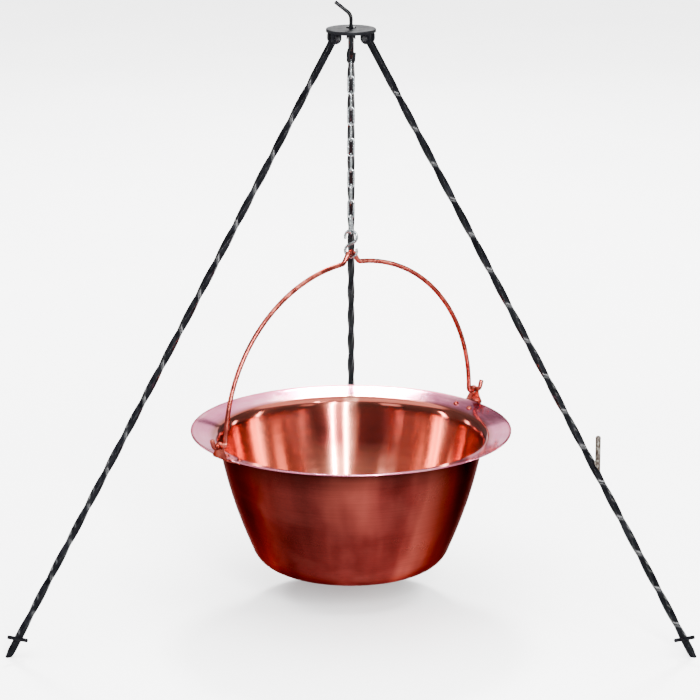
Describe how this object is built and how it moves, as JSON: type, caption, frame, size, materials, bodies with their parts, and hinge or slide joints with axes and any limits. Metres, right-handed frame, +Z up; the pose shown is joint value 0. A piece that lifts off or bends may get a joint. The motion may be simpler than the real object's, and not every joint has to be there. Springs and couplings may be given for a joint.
{
  "type": "campfire tripod with hanging kettle",
  "caption": "Black twisted-bar campfire tripod with hinged legs, a hook and chain under its round plate, and a wide-rimmed copper kettle hanging by its bail.",
  "frame": {"origin": "on the ground, under the middle of the whole object's box; the tripod's own vertical axis, where the chain and kettle hang, is 191.7 mm towards -Y", "axes": "+Z up, +X towards the right-hand front leg's side, +Y towards the rear leg, so the front faces -Y"},
  "size_m": [1.373, 1.1987, 1.25],
  "materials": {
    "black_paint": "semi-gloss black paint over twisted square bar",
    "dark_plate_paint": "satin charcoal paint",
    "fastener_black": "black oxide, a little shiny",
    "bare_steel": "bare mottled steel, slightly tarnished",
    "galvanised_steel": "dull galvanised wire",
    "copper_sheet": "polished copper, brushed bands outside and bright inside",
    "copper_rod": "bright drawn copper"
  },
  "bodies": {
    "head": {"top_plate": "dark_plate_paint", "bracket_left": "dark_plate_paint", "bracket_right": "dark_plate_paint", "bracket_rear": "dark_plate_paint", "hinge_bolt_left": "fastener_black", "hinge_bolt_right": "fastener_black", "hinge_bolt_rear": "fastener_black", "hinge_nut_left": "fastener_black", "hinge_nut_right": "fastener_black", "hinge_nut_rear": "fastener_black"},
    "leg_left": {"leg_left": "black_paint", "foot_stop_left": "black_paint"},
    "leg_right": {"leg_right": "black_paint", "foot_stop_right": "black_paint", "side_peg": "bare_steel"},
    "leg_rear": {"leg_rear": "black_paint", "foot_stop_rear": "black_paint"},
    "hook": {"hook_rod": "black_paint", "cross_pin": "black_paint"},
    "chain_link_01": {"chain_link_01": "galvanised_steel"},
    "chain_link_02": {"chain_link_02": "galvanised_steel"},
    "chain_link_03": {"chain_link_03": "galvanised_steel"},
    "chain_link_04": {"chain_link_04": "galvanised_steel"},
    "chain_link_05": {"chain_link_05": "galvanised_steel"},
    "chain_link_06": {"chain_link_06": "galvanised_steel"},
    "chain_link_07": {"chain_link_07": "galvanised_steel"},
    "chain_link_08": {"chain_link_08": "galvanised_steel"},
    "chain_link_09": {"chain_link_09": "galvanised_steel"},
    "chain_link_10": {"chain_link_10": "galvanised_steel"},
    "chain_link_11": {"chain_link_11": "galvanised_steel"},
    "s_hook": {"s_hook": "galvanised_steel"},
    "bail": {"bail": "copper_rod"},
    "kettle": {"kettle": "copper_sheet", "ear_left": "copper_rod", "ear_right": "copper_rod", "rivet_left_1": "copper_rod", "rivet_left_2": "copper_rod", "rivet_right_1": "copper_rod", "rivet_right_2": "copper_rod"}
  },
  "joints": [
    {"name": "leg_left_fold", "type": "hinge", "parent": "head", "child": "leg_left", "pos_m": [-0.03334, -0.21091, 1.177], "axis": [0.5, -0.866, 0], "range_deg": [0, 9.5]},
    {"name": "leg_right_fold", "type": "hinge", "parent": "head", "child": "leg_right", "pos_m": [0.03334, -0.21091, 1.177], "axis": [0.5, 0.866, 0], "range_deg": [0, 9.5]},
    {"name": "leg_rear_fold", "type": "hinge", "parent": "head", "child": "leg_rear", "pos_m": [0, -0.15316, 1.177], "axis": [-1, 0, 0], "range_deg": [0, 9.5]},
    {"name": "hook_swivel", "type": "hinge", "parent": "head", "child": "hook", "pos_m": [0, -0.19166, 1.193], "axis": [0, 0, 1], "continuous": true},
    {"name": "link_01_swing", "type": "hinge", "parent": "hook", "child": "chain_link_01", "pos_m": [0, -0.19166, 1.123], "axis": [1, 0, 0], "range_deg": [-12, 12]},
    {"name": "link_02_swing", "type": "hinge", "parent": "chain_link_01", "child": "chain_link_02", "pos_m": [0, -0.19166, 1.092], "axis": [0, 1, 0], "range_deg": [-12, 12]},
    {"name": "link_03_swing", "type": "hinge", "parent": "chain_link_02", "child": "chain_link_03", "pos_m": [0, -0.19166, 1.06], "axis": [-1, 0, 0], "range_deg": [-12, 12]},
    {"name": "link_04_swing", "type": "hinge", "parent": "chain_link_03", "child": "chain_link_04", "pos_m": [0, -0.19166, 1.028], "axis": [0, -1, 0], "range_deg": [-12, 12]},
    {"name": "link_05_swing", "type": "hinge", "parent": "chain_link_04", "child": "chain_link_05", "pos_m": [0, -0.19166, 0.996], "axis": [-1, 0, 0], "range_deg": [-12, 12]},
    {"name": "link_06_swing", "type": "hinge", "parent": "chain_link_05", "child": "chain_link_06", "pos_m": [0, -0.19166, 0.964], "axis": [0, -1, 0], "range_deg": [-12, 12]},
    {"name": "link_07_swing", "type": "hinge", "parent": "chain_link_06", "child": "chain_link_07", "pos_m": [0, -0.19166, 0.932], "axis": [1, 0, 0], "range_deg": [-12, 12]},
    {"name": "link_08_swing", "type": "hinge", "parent": "chain_link_07", "child": "chain_link_08", "pos_m": [0, -0.19166, 0.9], "axis": [0, 1, 0], "range_deg": [-12, 12]},
    {"name": "link_09_swing", "type": "hinge", "parent": "chain_link_08", "child": "chain_link_09", "pos_m": [0, -0.19166, 0.868], "axis": [1, 0, 0], "range_deg": [-12, 12]},
    {"name": "link_10_swing", "type": "hinge", "parent": "chain_link_09", "child": "chain_link_10", "pos_m": [0, -0.19166, 0.836], "axis": [0.0872, 0.9962, 0], "range_deg": [-12, 12]},
    {"name": "link_11_swing", "type": "hinge", "parent": "chain_link_10", "child": "chain_link_11", "pos_m": [0, -0.19166, 0.804], "axis": [-0.9848, 0.1736, 0], "range_deg": [-12, 12]},
    {"name": "s_hook_swing", "type": "hinge", "parent": "chain_link_11", "child": "s_hook", "pos_m": [0, -0.19166, 0.772], "axis": [-0.2588, -0.9659, 0], "range_deg": [-12, 12]},
    {"name": "bail_swing", "type": "hinge", "parent": "s_hook", "child": "bail", "pos_m": [0, -0.19166, 0.7224], "axis": [0.9272, -0.3746, 0], "range_deg": [-12, 12]},
    {"name": "kettle_tilt", "type": "hinge", "parent": "bail", "child": "kettle", "pos_m": [0, -0.19166, 0.381], "axis": [-0.7771, -0.6293, 0], "range_deg": [-90, 90]}
  ]
}
